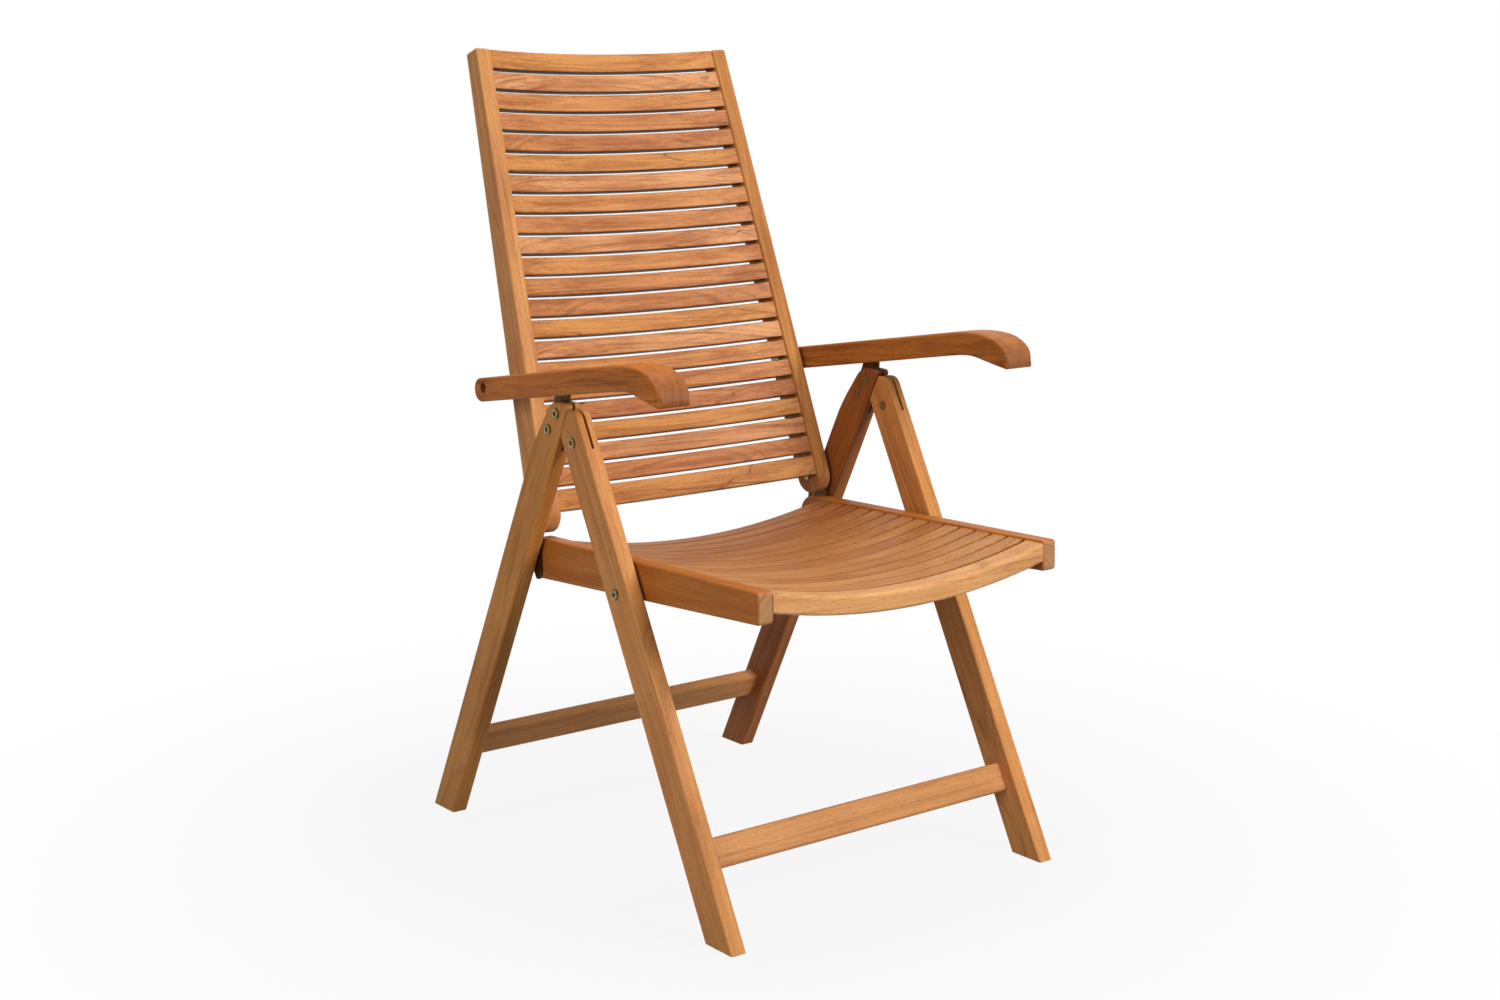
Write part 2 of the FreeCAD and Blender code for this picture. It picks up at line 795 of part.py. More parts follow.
rail_thickness = sized("rail_thickness")
rail_end_radius = sized("rail_rear_height") / 2
rail_outline = [
    (-rail_front, rail_top - sized("rail_front_height"), as_size(5)),
    (rail_rear + rail_end_radius, rail_top - sized("rail_rear_height"),
     rail_end_radius * 0.975),
    (rail_rear + rail_end_radius, rail_top, rail_end_radius * 0.975),
    (-rail_front, rail_top, as_size(5)),
]

# Back hinge straps
# A brass strap on the outer face of each rail carries the back's hinge bolt. Its lower edge
# is notched for the rest pin on the rear leg.

strap_thickness = sized("strap_thickness")
rest_radius = sized("rest_pin_diameter") / 2
strap_screws = (("front", hinge_y - 3, rest_z + 8), ("upper", hinge_y + 3, rest_z + 33))
strap_outline = [
    (hinge_y - 14, rest_z - 8, as_size(8)),
    (rest_y - rest_radius - 9, rest_z - 8, as_size(1)),
    (rest_y - rest_radius - 0.4, rest_z + rest_radius + 0.4, rest_radius - 0.6),
    (rest_y + rest_radius + 0.4, rest_z + rest_radius + 0.4, rest_radius),
    (rest_y + rest_radius + 0.4, rest_z - 8, as_size(1)),
    (rest_y + 15, rest_z - 4, as_size(4)),
    (rest_y + 14, rest_z + 40, as_size(20)),
    (hinge_y + 20, hinge_z + 20, as_size(18)),
    (hinge_y - 17, hinge_z + 20, as_size(18)),
    (hinge_y - 14, rest_z + 30, as_size(20)),
]
screw_radius = sized("screw_diameter") / 2
strap_solids = []
rail_tools = {"left": [], "right": []}
for side_name, side in SIDES:
    body = new_body("strap_%s_blank" % side_name)
    sketch = new_sketch(body, "YZ_Plane", "strap_%s_outline" % side_name)
    rounded_outline(sketch, strap_outline)
    pad(body, sketch, strap_thickness, "strap_%s_pad" % side_name)
    place(body, side * (rail_outer + strap_thickness / 2))
    tools = [bore("strap_%s_hinge_bore" % side_name, side, hole_radius,
                  rail_outer - 1, leg_inner, hinge_y, hinge_z)]
    for tag, back, up in strap_screws:
        screw_name = "strap_screw_%s_%s" % (tag, side_name)
        face = rail_outer + strap_thickness
        screw = turned_pin(screw_name, side, back, up, [
            (rail_outer - 15, face - 1.6, screw_radius),
            (face - 1.6, face, sized("screw_head_diameter") / 2),
        ])
        strap_solids.append(screw)
        tools.append(screw)
        rail_tools[side_name].append(screw)
    strap_solids.insert(0, cut("strap_" + side_name, body, tools))
keep(group("back_hinge_straps", strap_solids), "back_hinge_straps")

for side_name, side in SIDES:
    rail = board("seat_rail_%s_board" % side_name, rail_outline, rail_thickness,
                 sized("leg_edge_radius"))
    rail.Placement = seat_place(side * (rail_inner + rail_thickness / 2), 0, 0)
    tools = [bore("seat_rail_%s_bore" % side_name, side, hole_radius,
                  rail_inner - 1, rail_outer + 1, seat_y, seat_z)]
    tools += rail_tools[side_name] + seat_tenons[side_name]
    keep(cut("seat_rail_" + side_name, rail, tools), "seat_rail_" + side_name)

# Back
# The back's own frame: origin at the back hinge, Z up along the stiles, Y to the rear.

back_lean = sized("back_lean")
back_turn = turn_x(-back_lean.value)
back_origin = Vector(0, hinge_y.value, hinge_z.value)
stile_thickness = sized("stile_thickness")
stile_bottom = sized("stile_bottom_depth") / 2
stile_length = sized("stile_length")
stile_tilt = sized("stile_tilt")
stile_inner = rail_inner - sized("stile_inside_rail")
stile_rear_top = sized("stile_top_depth") - stile_bottom
stile_middle = stile_inner + stile_thickness / 2 / cosine(stile_tilt)

stile_outline = [
    (-stile_bottom, -stile_bottom, stile_bottom - 0.1),
    (stile_bottom, -stile_bottom, stile_bottom - 0.1),
    (stile_bottom, as_size(0)),
    (stile_rear_top, stile_length, as_size(4)),
    (-stile_bottom, stile_length, as_size(4)),
]


def back_place(across, back, up, extra=None):
    spot = back_origin + back_turn.multVec(Vector(float(across), float(back), float(up)))
    turn = back_turn.multiply(extra) if extra else back_turn
    return Placement(spot, turn)


stile_boards = []
stile_planes = []
for side_name, side in SIDES:
    stile = board("back_stile_%s_board" % side_name, stile_outline, stile_thickness,
                  sized("leg_edge_radius"))
    tilt = Rotation(Vector(0, 1, 0), -side * stile_tilt.value)
    stile.Placement = back_place(side * stile_middle, 0, 0, tilt)
    stile_boards.append(stile)
    # a plain block over the whole stile, whose inner face trims the ends of the slats
    spot = stile.Placement.multVec(Vector(-stile_thickness.value / 2, -60, -60))
    stile_planes.append(box("back_stile_%s_plane" % side_name, stile_thickness, as_size(120),
                            stile_length + 120,
                            Placement(spot, stile.Placement.Rotation)))

# Back slats, from the top down

back_slat_front = sized("back_slat_recess") - stile_bottom
back_slat_thickness = sized("back_slat_thickness")
back_width = sized("back_slat_width")
top_width = sized("back_top_slat_width")
bottom_width = sized("back_bottom_slat_width")
stile_top = stile_length * cosine(stile_tilt)
back_count = int(SIZES["back_slat_count"])
# the slats share the height evenly, whatever the stiles' length
back_pitch = back_width + (stile_top - 0.5 - sized("back_slats_bottom") - top_width
                           - bottom_width - (back_count - 2) * back_width) / (back_count - 1)
back_tenons = {"left": [], "right": []}
for number in range(1, back_count + 1):
    name = "back_slat_%02d" % number
    top_slat = number == 1
    bottom_slat = number == back_count
    if top_slat:
        width = top_width
        middle = stile_top - 0.5 - width / 2
    else:
        width = bottom_width if bottom_slat else back_width
        upper_edge = stile_top - 0.5 - top_width - (back_pitch - back_width) \
            - (number - 2) * back_pitch
        middle = upper_edge - width / 2
    inner = stile_inner - middle * tangent(stile_tilt)
    overlong = inner + 10
    # the arc is set through the stiles' inner faces, so its dip grows with the extra length
    dip = sized("back_slat_dip") * overlong * overlong / (inner * inner)
    strip = bent_strip(name + "_strip", "XY_Plane", overlong, dip,
                       back_slat_thickness, width, slat_radius, 1)
    strip.Placement = back_place(0, back_slat_front - (dip - sized("back_slat_dip")), middle)
    trimmed = cut(name + "_trimmed", strip, stile_planes)
    tenons = []
    for side_name, side in SIDES:
        start = inner - 3 if side > 0 else -(inner + tenon_length)
        tenon = box("%s_tenon_%s" % (name, side_name), tenon_length + 3,
                    tenon_height, width - 2 * tenon_shoulder,
                    back_place(start, back_slat_front + back_slat_thickness / 2
                               - tenon_height / 2, middle - width / 2 + tenon_shoulder))
        tenons.append(tenon)
        back_tenons[side_name].append(tenon)
    keep(fuse(name, [trimmed] + tenons), name)

# Hinge bolts of the back: a low head over the strap, a sleeve nut inside the stile
hinge_bolts = []
hinge_nut_radius = head_radius - 1.5
hinge_outer = rail_outer + strap_thickness + sized("hinge_head_proud")
for side_name, side in SIDES:
    inside = stile_inner - head_height - 0.5
    hinge_bolts.append(turned_pin("back_hinge_bolt_" + side_name, side, hinge_y, hinge_z, [
        (inside, inside + head_height, hinge_nut_radius),
        (inside + head_height, rail_outer + strap_thickness + fit, bolt_radius),
        (rail_outer + strap_thickness + fit, hinge_outer, head_radius),
    ]))
keep(group("back_hinge_bolts", hinge_bolts), "back_hinge_bolts")

# Arms
# The arm's own frame: origin at the arm pivot, -Y forward along the arm.

# the arm rises forward as far as its line has to pass over the catch pin
catch_far = math.hypot(arm_y.value - catch_y.value, catch_z.value - arm_z.value)
arm_rise = math.degrees(
    math.atan2(catch_z.value - arm_z.value, arm_y.value - catch_y.value)
    + math.asin(SIZES["arm_above_catch"] / catch_far))
arm_turn = turn_x(-arm_rise)
arm_origin = Vector(0, arm_y.value, arm_z.value)
arm_half = sized("arm_thickness") / 2
arm_reach = sized("arm_reach")
arm_drop = sized("arm_nose_drop")
arm_tail = sized("arm_tail")
splay = sized("arm_splay")
arm_inner = leg_inner - sized("arm_inside_leg")
arm_width = sized("arm_width")
groove_half = sized("groove_width") / 2


def arm_place(across, back, up):
    return Placement(arm_origin + arm_turn.multVec(Vector(float(across), float(back),
                                                         float(up))), arm_turn)


def curve(sketch, points):
    """A smooth curve through points of (forward distance, height)."""
    spline = Part.BSplineCurve()
    spline.interpolate([Vector(-float(u), float(v), 0) for u, v in points])
    index = sketch.addGeometry(spline, False)
    sketch.addConstraint(Sketcher.Constraint("Block", index))
    return index


def arm_side(name):
    """The arm seen from the side: straight, then bent down over the front end."""
    body = new_body(name)
    sketch = new_sketch(body, "YZ_Plane", name + "_outline")
    top = [
        (arm_reach - 112, arm_half),
        (arm_reach - 92, arm_half - 0.2),
        (arm_reach - 67, arm_half - 2),
        (arm_reach - 42, arm_half - 6.6),
        (arm_reach - 26, arm_half - 12),
        (arm_reach - 14, arm_half - 19.5),
        (arm_reach - 5.6, arm_half - 28.5),
        (arm_reach - 1.4, arm_half - 38),
        (arm_reach, arm_half - 47),
    ]
    nose = [
        top[-1],
        (arm_reach - 0.6, -arm_drop + 4.6),
        (arm_reach - 3, -arm_drop + 1.2),
        (arm_reach - 7, -arm_drop),
    ]
    bottom = [
        nose[-1],
        (arm_reach - 28, -arm_drop + 7.2),
        (arm_reach - 48, -arm_drop + 14.4),
        (arm_reach - 64, -arm_drop + 19.8),
        (arm_reach - 82, -arm_half - 0.6),
        (arm_reach - 104, -arm_half),
    ]
    # the tail goes on behind the pivot and lies a little lower than the front
    middle = -sized("arm_tail_dip")
    over = -middle / (arm_reach - 108 + arm_tail) * arm_half
    rear_top = (-arm_tail - over, middle + arm_half)
    rear_tip = (-arm_tail - arm_half, middle)
    rear_bottom = (-arm_tail + over, middle - arm_half)
    curves = [top, nose, bottom]
    indices = [curve(sketch, points) for points in curves]

    def line(start, end):
        return sketch.addGeometry(Part.LineSegment(
            Vector(-float(start[0]), float(start[1]), 0),
            Vector(-float(end[0]), float(end[1]), 0)), False)

    upper = line(rear_top, top[0])
    lower = line(bottom[-1], rear_bottom)
    arc = sketch.addGeometry(Part.Arc(*[
        Vector(-float(point[0]), float(point[1]), 0)
        for point in (rear_bottom, rear_tip, rear_top)]), False)
    for item in (upper, lower, arc):
        sketch.addConstraint(Sketcher.Constraint("Block", item))
    doc.recompute()
    feature = body.newObject("PartDesign::Pad", name + "_pad")
    feature.Profile = sketch
    bind(feature, "Length", arm_width + 60)
    doc.recompute()
    return body


def arm_plan(name, side):
    """The arm seen from above: a straight board that spreads towards the front."""
    body = new_body(name)
    sketch = new_sketch(body, "XY_Plane", name + "_outline")
    rear = arm_tail + arm_half + 0.5
    front = -(arm_reach + 0.5)
    slant = tangent(splay)
    inner_rear = arm_inner - rear * slant
    inner_front = arm_inner - front * slant
    corners = [
        (inner_rear, rear, as_size(3)),
        (inner_front, front, as_size(7)),
        (inner_front + arm_width + 1, front, as_size(9)),
        (inner_rear + arm_width, rear, as_size(5)),
    ]
    corners = [(side * c[0], c[1], c[2]) for c in corners]
    rounded_outline(sketch, corners)
    pad(body, sketch, as_size(200), name + "_pad")
    return body


arm_bolt_solids = {}
catch_rel = arm_turn.inverted().multVec(
    Vector(0, catch_y.value, catch_z.value) - arm_origin)
tooth_level = catch_rel.z + float(catch_radius) + SIZES["rack_tooth_gap"]
rack_top = tooth_level + SIZES["rack_height"]
# the catch pin stands in the first notch; four more lie farther along, one for each recline
first_notch = -catch_rel.y
notches = [first_notch + step for step in (0, 21.4, 45.4, 67.4, 87.4)]
groove_start = first_notch - SIZES["groove_before_notch"]

for side_name, side in SIDES:
    side_body = arm_side("arm_%s_side" % side_name)
    across = arm_inner - 5 if side > 0 else -(arm_inner + arm_width + 55)
    side_body.Placement = arm_place(across, 0, 0)
    plan_body = arm_plan("arm_%s_plan" % side_name, side)
    plan_body.Placement = arm_place(0, 0, 0)
    raw = doc.addObject("Part::Common", "arm_%s_raw" % side_name)
    raw.Base = side_body
    raw.Tool = plan_body
    doc.recompute()
    soft = doc.addObject("Part::Fillet", "arm_%s_soft" % side_name)
    soft.Base = raw
    reach = SIZES["arm_edge_radius"]
    soft.Edges = [(number, reach, reach) for number, edge in enumerate(raw.Shape.Edges, start=1)
                  if edge.Length > 60]
    doc.recompute()
    groove = box("arm_%s_groove" % side_name, sized("groove_width"), sized("groove_length"),
                 as_size(rack_top + 30),
                 arm_place(side * leg_middle - groove_half,
                           -(groove_start + sized("groove_length")), -30))
    outer_face = arm_inner + arm_width
    counterbore = bore("arm_%s_counterbore" % side_name, side, head_radius + 0.3,
                       outer_face - 8, outer_face + 20, arm_y, arm_z)
    hole = bore("arm_%s_bore" % side_name, side, hole_radius, arm_inner - 10,
                outer_face, arm_y, arm_z)
    keep(cut("arm_" + side_name, soft, [groove, counterbore, hole]), "arm_" + side_name)

    # brass channel in the groove, with five notches for the catch pin
    wall = sized("rack_wall")
    rack_start = first_notch - SIZES["rack_before_notch"]
    rack_length = sized("rack_length")
    blank = box("rack_%s_blank" % side_name, sized("groove_width"), rack_length,
                sized("rack_height"),
                arm_place(side * leg_middle - groove_half, -(rack_start + rack_length),
                          tooth_level))
    hollow = box("rack_%s_hollow" % side_name, sized("groove_width") - 2 * wall,
                 rack_length + 2, sized("rack_height") - wall + 1,
                 arm_place(side * leg_middle - groove_half + wall,
                           -(rack_start + rack_length + 1), tooth_level - 1))
    tools = [hollow]
    for number, along in enumerate(notches, start=1):
        notch = doc.addObject("Part::Cylinder", "rack_%s_notch_%d" % (side_name, number))
        bind(notch, "Radius", sized("notch_radius"))
        bind(notch, "Height", sized("groove_width") + 2)
        spot = arm_place(side * leg_middle - groove_half - 1, -along, tooth_level)
        notch.Placement = Placement(spot.Base, Rotation(Vector(0, 1, 0), 90))
        tools.append(notch)
    keep(cut("rack_" + side_name, blank, tools), "rack_" + side_name)

    # pivot bolt of the arm, with a thick washer between stile and arm
    rise = (arm_y - hinge_y) * sine(back_lean) + (arm_z - hinge_z) * cosine(back_lean)
    stile_face = stile_inner - rise * tangent(stile_tilt)
    stile_outer = stile_face + stile_thickness / cosine(stile_tilt)
    arm_bolt = socket_bolt("arm_bolt_" + side_name, side, arm_y, arm_z,
                           stile_face - head_height - 1.1, outer_face - 8 + head_height,
                           nut_radius, head_radius, head_height)
    washer = bore("arm_washer_blank_" + side_name, side, head_radius + 2,
                  stile_outer + 0.75, arm_inner - 0.7, arm_y, arm_z)
    washer_hole = bore("arm_washer_bore_" + side_name, side, hole_radius,
                       stile_outer - 2, arm_inner + 2, arm_y, arm_z)
    ring = cut("arm_washer_" + side_name, washer, [washer_hole])
    name = "arm_pivot_" + side_name
    keep(group(name, [arm_bolt, ring]), name)

# Stiles with their mortises and bores
for (side_name, side), stile in zip(SIDES, stile_boards):
    tools = [
        bore("stile_%s_hinge_bore" % side_name, side, hole_radius,
             stile_inner - 10, rail_outer + 10, hinge_y, hinge_z),
        bore("stile_%s_arm_bore" % side_name, side, hole_radius,
             stile_inner - 40, rail_outer + 10, arm_y, arm_z),
    ]
    tools += back_tenons[side_name]
    keep(cut("back_stile_" + side_name, stile, tools), "back_stile_" + side_name)

doc.recompute()

# Every object is checked before anything is written
faults = []
for item in doc.Objects:
    if "Invalid" in item.State or "Error" in item.State:
        faults.append("%s: %s" % (item.Name, item.State))
for item in PARTS:
    if item.Shape.isNull() or not item.Shape.isValid() or not item.Shape.Solids:
        faults.append("%s: shape" % item.Label)
if faults:
    raise RuntimeError("; ".join(faults))

os.makedirs("parts", exist_ok=True)
for item in PARTS:
    item.Shape.exportStep(os.path.join("parts", item.Label + ".step"))

everything = Part.makeCompound([item.Shape for item in PARTS])
size = everything.BoundBox
print("nodes", len(PARTS), "solids", sum(len(item.Shape.Solids) for item in PARTS))
print("box x %.1f %.1f y %.1f %.1f z %.1f %.1f" % (
    size.XMin, size.XMax, size.YMin, size.YMax, size.ZMin, size.ZMax))
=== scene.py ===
# %% [markdown]
# Folding teak armchair
# The chair is a set of sawn and sanded teak boards with brass fittings. Every board already
# stands in the frame at its real size, so this lesson is about two things: making each board
# look like its own piece of teak, and lighting the chair as a studio would.
# All lengths in Blender are metres, in the same frame as the chair itself.

# %% Load the chair
import math
import bmesh
import bpy
from mathutils import Matrix, Vector


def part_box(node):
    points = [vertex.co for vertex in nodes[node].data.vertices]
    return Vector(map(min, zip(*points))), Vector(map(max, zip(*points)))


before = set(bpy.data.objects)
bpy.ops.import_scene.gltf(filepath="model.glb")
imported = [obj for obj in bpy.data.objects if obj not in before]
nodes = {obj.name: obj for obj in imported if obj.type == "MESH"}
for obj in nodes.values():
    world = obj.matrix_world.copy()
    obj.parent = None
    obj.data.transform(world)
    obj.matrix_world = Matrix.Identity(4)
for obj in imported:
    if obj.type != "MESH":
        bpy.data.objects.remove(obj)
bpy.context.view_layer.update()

# %% [markdown]
# A colour is easiest to pick as an sRGB hex value, but the shaders count in linear light.
# One function turns the first into the second, and another adds one shader node with its
# settings and its links, so that a material reads as a short list of steps.

# %% Colours and shader nodes


def linear(code):
    """The linear colour of an sRGB hex value."""
    levels = []
    for start in (0, 2, 4):
        level = int(code[start:start + 2], 16) / 255
        levels.append(level / 12.92 if level <= 0.04045 else ((level + 0.055) / 1.055) ** 2.4)
    return (*levels, 1.0)


def add(tree, kind, settings=None, inputs=None):
    """Adds a shader node; an input is a value, or the output socket it is linked from."""
    node = tree.nodes.new(kind)
    for name, value in (settings or {}).items():
        setattr(node, name, value)
    for name, value in (inputs or {}).items():
        socket = node.inputs[name]
        if isinstance(value, bpy.types.NodeSocket):
            tree.links.new(value, socket)
        else:
            socket.default_value = value
    return node


def new_material(name):
    """An empty material with its output node."""
    material = bpy.data.materials.new(name)
    material.use_nodes = True
    material.node_tree.nodes.clear()
    output = material.node_tree.nodes.new("ShaderNodeOutputMaterial")
    return material, material.node_tree, output


# %% [markdown]
# Teak
# Oiled teak is golden to reddish brown. A board is cut out of a trunk, so its figure is a
# slice through the yearly rings: cylinders round the pith, 3 to 6 mm apart, a little wavy.
# Where the cut runs nearly along a ring, the lines open into long arches, and on an end they
# are arcs. A pattern that fills space gives all of this by itself, on every face of a board,
# so the colour is worked out from a point's distance to a pith line that runs beside the
# board and leans a little against it. On top come broad warm and cool zones, thin fibres
# along the grain and the short dark pores that make teak look dry and fine.
# Real pores are about 0.2 mm wide. That is finer than a pixel here, so they are drawn 0.7 mm
# wide.

# %% How a board lies in its trunk


def board_space(node, grain, pith):
    """Turns and moves object coordinates so that X is the grain and the board's middle is at
    the pith offset; one unit is a millimetre."""
    low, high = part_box(node)
    middle = (Vector(low) + Vector(high)) / 2
    turn = Vector(grain).normalized().rotation_difference(Vector((1, 0, 0)))
    place = Vector(pith) - turn @ (middle * 1000)
    return place, turn.to_euler()


def stretched_noise(tree, source, along, across, detail=2.0, roughness=0.5, shift=0.0):
    """Noise whose spots are so many millimetres long along the grain and wide across it."""
    place = add(tree, "ShaderNodeMapping", {}, {
        "Vector": source, "Location": (shift, shift, shift),
        "Scale": (1 / along, 1 / across, 1 / across)})
    return add(tree, "ShaderNodeTexNoise", {}, {
        "Vector": place.outputs["Vector"], "Scale": 1.0, "Detail": detail,
        "Roughness": roughness})


def ranged(tree, value, low, high, start, end):
    """Stretches the part of a value between low and high to run from start to end."""
    return add(tree, "ShaderNodeMapRange", {}, {
        "Value": value, "From Min": low, "From Max": high, "To Min": start,
        "To Max": end}).outputs["Result"]


def maths(tree, operation, *values, clamp=False):
    """One sum on numbers or sockets."""
    return add(tree, "ShaderNodeMath", {"operation": operation, "use_clamp": clamp},
               dict(enumerate(values))).outputs[0]


def blended(tree, share, first, second):
    """Mixes two colours by a share from 0 to 1."""
    return add(tree, "ShaderNodeMix", {"data_type": "RGBA"}, {
        "Factor": share, "A": first, "B": second}).outputs["Result"]


# %% One board of teak


def teak(name, node, grain, pith, lean, tones, line="6a3a18", lines=0.5, vein=0.0,
         ring_width=6.0, figure=1.0, gloss=0.46, painted_shade_sides=None, painted_shade_strength=0.85,
         end_tones=("a5805c", "664329"), end_start=0.60):
    """Oiled teak for one board: tones are its golden and its reddish colour, lines is the
    strength of the yearly lines, vein that of the dark veins and figure that of the zones
    between the two tones. The direction that a slat's narrow sides face and a strength give
    painted shade on those sides, where shade falls in the gaps and under the slat. end_tones
    are the colours of early and late wood on the sawn ends, which begin where a face turns
    towards the grain by more than end_start."""
    material, tree, output = new_material(name)
    place, turn = board_space(node, grain, pith)
    at = add(tree, "ShaderNodeTexCoord")
    board = add(tree, "ShaderNodeMapping", {"vector_type": "POINT"}, {
        "Vector": at.outputs["Object"], "Location": place, "Rotation": turn,
        "Scale": (1000, 1000, 1000)}).outputs["Vector"]

    # the trunk isn't straight: slow waves move the rings by a few millimetres
    wave = stretched_noise(tree, board, 330, 75, 1.5, 0.4)
    off = add(tree, "ShaderNodeVectorMath", {"operation": "SUBTRACT"}, {
        0: wave.outputs["Color"], 1: (0.5, 0.5, 0.5)})
    off = add(tree, "ShaderNodeVectorMath", {"operation": "SCALE"}, {
        0: off.outputs[0], "Scale": 26.0})
    moved = add(tree, "ShaderNodeVectorMath", {"operation": "ADD"}, {
        0: board, 1: off.outputs[0]}).outputs[0]

    # distance to the leaning pith line, counted in years
    parts = add(tree, "ShaderNodeSeparateXYZ", {}, {0: moved})
    side = maths(tree, "MULTIPLY_ADD", parts.outputs["X"], lean[0], parts.outputs["Y"])
    rise = maths(tree, "MULTIPLY_ADD", parts.outputs["X"], lean[1], parts.outputs["Z"])
    across = add(tree, "ShaderNodeCombineXYZ", {}, {"Y": side, "Z": rise})
    distance = add(tree, "ShaderNodeVectorMath", {"operation": "LENGTH"}, {
        0: across.outputs[0]}).outputs["Value"]
    years = maths(tree, "DIVIDE", distance, ring_width)
    uneven = add(tree, "ShaderNodeTexNoise", {"noise_dimensions": "1D"}, {
        "W": years, "Scale": 0.6, "Detail": 1.0})
    season = maths(tree, "FRACT", maths(tree, "MULTIPLY_ADD", uneven.outputs["Fac"], 2.4, years))
    late = add(tree, "ShaderNodeValToRGB", {}, {"Fac": season})
    ramp = late.color_ramp
    ramp.elements[0].color = (0.5, 0.5, 0.5, 1)
    ramp.elements[1].color = (0.55, 0.55, 0.55, 1)
    for position, level in ((0.05, 0.12), (0.30, 0.0), (0.76, 0.10), (0.90, 1.0)):
        ramp.elements.new(position).color = (level, level, level, 1)
    fade = stretched_noise(tree, board, 150, 16, 2.0)
    fade = ranged(tree, fade.outputs["Fac"], 0.38, 0.60, 0.15, 1.0)
    line_level = maths(tree, "MULTIPLY", maths(tree, "MULTIPLY", late.outputs["Color"], fade),
                       lines)

    # broad zones, from golden to reddish, that follow the rings loosely
    zone = stretched_noise(tree, moved, 260, 12, 3.0, 0.6, 5.0)
    usual, reach = 0.38, 0.38 * figure
    zone = ranged(tree, zone.outputs["Fac"], 0.36, 0.64, usual - reach, usual + reach)
    cloud = stretched_noise(tree, board, 95, 60, 2.0, 0.5, 9.0)
    cloud = ranged(tree, cloud.outputs["Fac"], 0.3, 0.7, -0.2, 0.2)
    # fibres along the grain, 1.8 mm wide and 90 mm long
    fibre = stretched_noise(tree, board, 90, 1.8, 4.0, 0.6).outputs["Fac"]
    fibre_level = ranged(tree, fibre, 0.32, 0.68, -0.3 * figure, 0.3 * figure)
    ground_share = maths(tree, "ADD", maths(tree, "ADD", zone, cloud), fibre_level, clamp=True)
    ground = blended(tree, ground_share, linear(tones[0]), linear(tones[1]))

    # pores: dark dashes 0.7 mm wide and 9 mm long
    pore = stretched_noise(tree, board, 9, 0.7, 1.0).outputs["Fac"]
    pore_level = ranged(tree, pore, 0.60, 0.70, 0.0, 0.42)
    # veins: the few nearly black lines that wander over a board
    vein_wave = stretched_noise(tree, moved, 420, 30, 2.0, 0.5, 17.0).outputs["Fac"]
    vein_near = maths(tree, "ABSOLUTE", maths(tree, "SUBTRACT", vein_wave, 0.5))
    vein_level = ranged(tree, vein_near, 0.0, 0.013, vein, 0.0)
    dark = maths(tree, "ADD", maths(tree, "ADD", line_level, pore_level), vein_level, clamp=True)
    figured = blended(tree, dark, ground, linear(line))

    # sawn ends drink more oil and look greyer and darker
    facing = add(tree, "ShaderNodeVectorMath", {"operation": "DOT_PRODUCT"}, {
        0: at.outputs["Normal"], 1: Vector(grain).normalized()}).outputs["Value"]
    end_level = ranged(tree, maths(tree, "ABSOLUTE", facing), end_start, 0.97, 0.0, 0.75)
    end_tone = blended(tree, maths(tree, "MULTIPLY", late.outputs["Color"], 0.6),
                       linear(end_tones[0]), linear(end_tones[1]))
    colour = blended(tree, end_level, figured, end_tone)

    # painted shade: the narrow sides of a slat, in the gaps and underneath, are darkened in
    # colour as if in shade
    if painted_shade_sides:
        narrow = add(tree, "ShaderNodeVectorMath", {"operation": "DOT_PRODUCT"}, {
            0: at.outputs["Normal"], 1: Vector(painted_shade_sides).normalized()}).outputs["Value"]
        painted_shade_level = ranged(tree, maths(tree, "ABSOLUTE", narrow), 0.6, 0.95, 0.0, painted_shade_strength)
        colour = blended(tree, painted_shade_level, colour, linear("4a2711"))

    # pores and soft early wood lie a few hundredths of a millimetre lower
    height = maths(tree, "SUBTRACT", fibre, dark)
    relief = add(tree, "ShaderNodeBump", {}, {
        "Height": height, "Strength": 0.3, "Distance": 0.0003})
    shine = ranged(tree, zone, 0.0, 1.0, gloss - 0.04, gloss + 0.08)
    surface = add(tree, "ShaderNodeBsdfPrincipled", {}, {
        "Base Color": colour, "Roughness": shine, "IOR": 1.48, "Specular IOR Level": 0.14,
        "Normal": relief.outputs["Normal"]})
    tree.links.new(surface.outputs[0], output.inputs["Surface"])
    return material


def dress(node, material):
    """Gives a board or fitting one material all over."""
    mesh = nodes[node].data
    if mesh.materials:
        for index in range(len(mesh.materials)):
            mesh.materials[index] = material
    else:
        mesh.materials.append(material)


# %% [markdown]
# Which way the grain runs
# A maker always lays the grain along a board. Slats run from side to side. Legs, rails,
# stiles and arms run the way they lean, by angles that are known from the chair's making.
# Each board gets its own place beside the pith, so that no two boards match, from a steady
# sequence of numbers that comes out the same way every time.

# %% Grain of every board
front_leg_lean = math.radians(27.73)
rear_leg_lean = math.radians(26.36)
seat_slope = math.radians(1.86)
arm_rise = math.radians(8.9)
back_lean = math.radians(19.34)
# the stiles come closer together towards the top by this much per unit of length
stile_tilt = 0.0515

front_leg_grain = (0, math.sin(front_leg_lean), math.cos(front_leg_lean))
rear_leg_grain = (0, -math.sin(rear_leg_lean), math.cos(rear_leg_lean))
rail_grain = (0, math.cos(seat_slope), -math.sin(seat_slope))
arm_grain = (0, -math.cos(arm_rise), math.sin(arm_rise))
stile_grain = {
    "left": (-stile_tilt, math.sin(back_lean), math.cos(back_lean)),
    "right": (stile_tilt, math.sin(back_lean), math.cos(back_lean)),
}
back_slat_width = (0, math.sin(back_lean), math.cos(back_lean))
side_to_side = (1, 0, 0)
GOLDEN_RATIO = 0.61803398875


def spread(number, low, high):
    """A steady sequence of well spread values between low and high."""
    return low + (high - low) * ((number * GOLDEN_RATIO) % 1.0)


